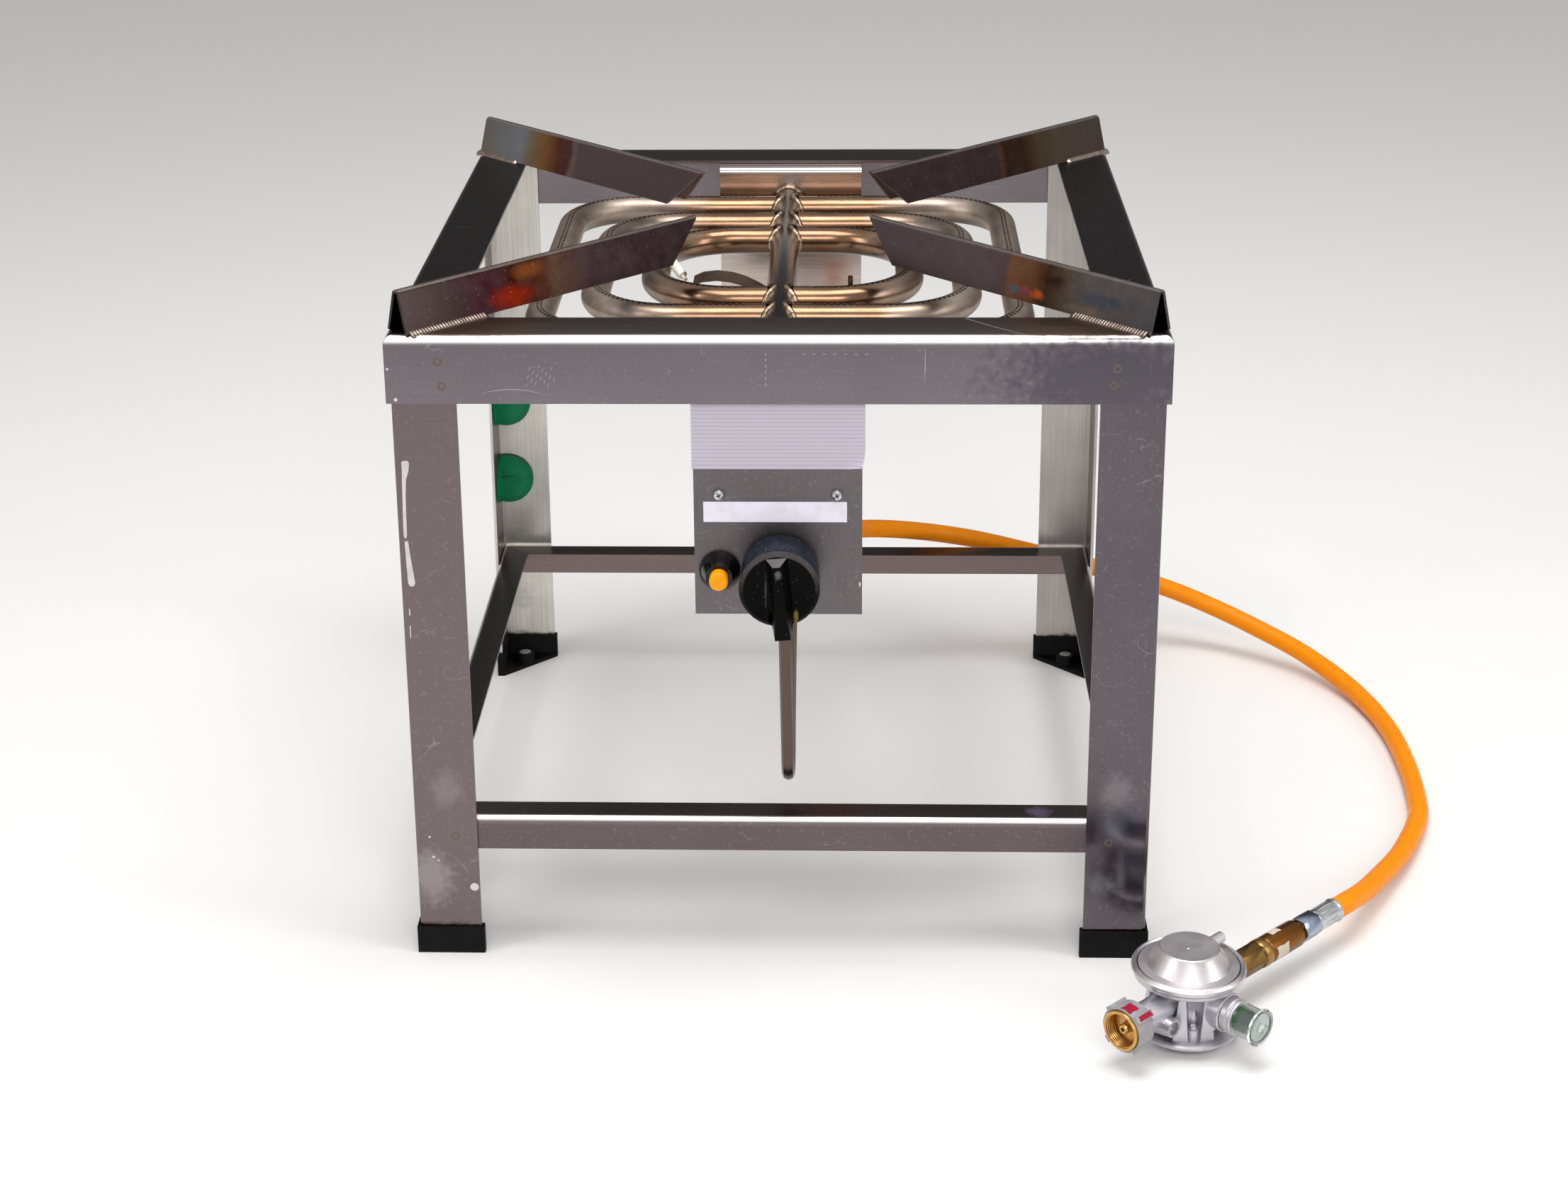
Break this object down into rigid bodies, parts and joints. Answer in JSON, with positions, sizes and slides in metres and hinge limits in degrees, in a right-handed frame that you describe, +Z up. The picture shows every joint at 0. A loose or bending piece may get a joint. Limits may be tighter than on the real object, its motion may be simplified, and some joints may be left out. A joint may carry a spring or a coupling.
{
  "type": "propane burner stand",
  "caption": "Square four-legged steel stool stand with a multi-ring gas tube burner, diagonal pot supports, control panel with knob and igniter, gas hose and pressure regulator.",
  "frame": {"origin": "on the floor, under the centre of the stand's overall footprint with its knob, hose and regulator left out", "axes": "+Z up, front panel towards -Y, hose and regulator on the +X side"},
  "size_m": [0.6614, 0.6127, 0.4255],
  "materials": {
    "frame_steel": "mill-finished stainless sheet",
    "heated_steel": "stainless sheet with heat tint",
    "burner_steel": "polished stainless tube, straw tint",
    "foot_plastic": "moulded black",
    "knob_plastic": "glossy black phenolic",
    "button_plastic": "glossy orange-yellow",
    "brass": "machined, slightly tarnished",
    "zinc_steel": "zinc-plated steel",
    "pipe_steel": "drawn metal pipe",
    "hose_rubber": "smooth orange rubber",
    "regulator_casting": "pressure die casting, satin",
    "ceramic": "glazed white insulator",
    "clear_plastic": "transparent moulded cap",
    "green_plastic": "moulded green",
    "grey_plastic": "moulded grey"
  },
  "bodies": {
    "stand": {"apron_front": "frame_steel", "apron_left": "frame_steel", "apron_rear": "frame_steel", "apron_right": "frame_steel", "burner_bracket": "frame_steel", "burner_manifold": "burner_steel", "electrode": "ceramic", "electrode_strap": "burner_steel", "flame_probe": "pipe_steel", "foot_cap_front_left": "foot_plastic", "foot_cap_front_right": "foot_plastic", "foot_cap_rear_left": "foot_plastic", "foot_cap_rear_right": "foot_plastic", "front_panel": "frame_steel", "gas_pipe": "pipe_steel", "gas_valve": "brass", "hose": "hose_rubber", "hose_end_valve": "zinc_steel", "hose_ferrule": "zinc_steel", "injector": "brass", "inlet_nipple": "brass", "leg_front_left": "frame_steel", "leg_front_right": "frame_steel", "leg_rear_left": "frame_steel", "leg_rear_right": "frame_steel", "lower_rail_front": "frame_steel", "lower_rail_left": "frame_steel", "lower_rail_rear": "frame_steel", "lower_rail_right": "frame_steel", "mixing_tube": "frame_steel", "panel_screw_left": "zinc_steel", "panel_screw_right": "zinc_steel", "piezo_igniter": "knob_plastic", "piezo_ring_nut": "zinc_steel", "pipe_nut_injector": "brass", "pipe_nut_valve": "brass", "pot_bar_front_left": "heated_steel", "pot_bar_front_right": "heated_steel", "pot_bar_rear_left": "heated_steel", "pot_bar_rear_right": "heated_steel", "pressure_indicator": "green_plastic", "rear_plate": "frame_steel", "regulator_body": "regulator_casting", "regulator_cover": "regulator_casting", "ring_inner_left": "burner_steel", "ring_inner_right": "burner_steel", "ring_middle_left": "burner_steel", "ring_middle_right": "burner_steel", "ring_outer_left": "burner_steel", "ring_outer_right": "burner_steel", "safety_adapter": "brass", "sight_cap": "clear_plastic", "swivel_nut": "zinc_steel"},
    "control_knob": {"knob": "knob_plastic"},
    "valve_stem": {"valve_spindle": "zinc_steel"},
    "igniter_button": {"piezo_button": "button_plastic"},
    "cylinder_union": {"cylinder_nut": "brass", "hand_wheel": "grey_plastic"}
  },
  "joints": [
    {"name": "knob_press", "type": "slide", "parent": "stand", "child": "valve_stem", "axis": [0, 1, 0], "range_m": [0, 0.003], "stiffness_N_per_m": 1500, "springref_m": -0.004},
    {"name": "knob_turn", "type": "hinge", "parent": "valve_stem", "child": "control_knob", "pos_m": [0.0013, -0.2037, 0.2574], "axis": [0, -1, 0], "range_deg": [0, 180]},
    {"name": "igniter_press", "type": "slide", "parent": "stand", "child": "igniter_button", "axis": [0, 1, 0], "range_m": [0, 0.0045], "stiffness_N_per_m": 900, "springref_m": -0.003},
    {"name": "union_spin", "type": "hinge", "parent": "stand", "child": "cylinder_union", "pos_m": [0.2382, -0.2887, 0.027], "axis": [-0.7071, -0.7071, 0], "continuous": true}
  ]
}
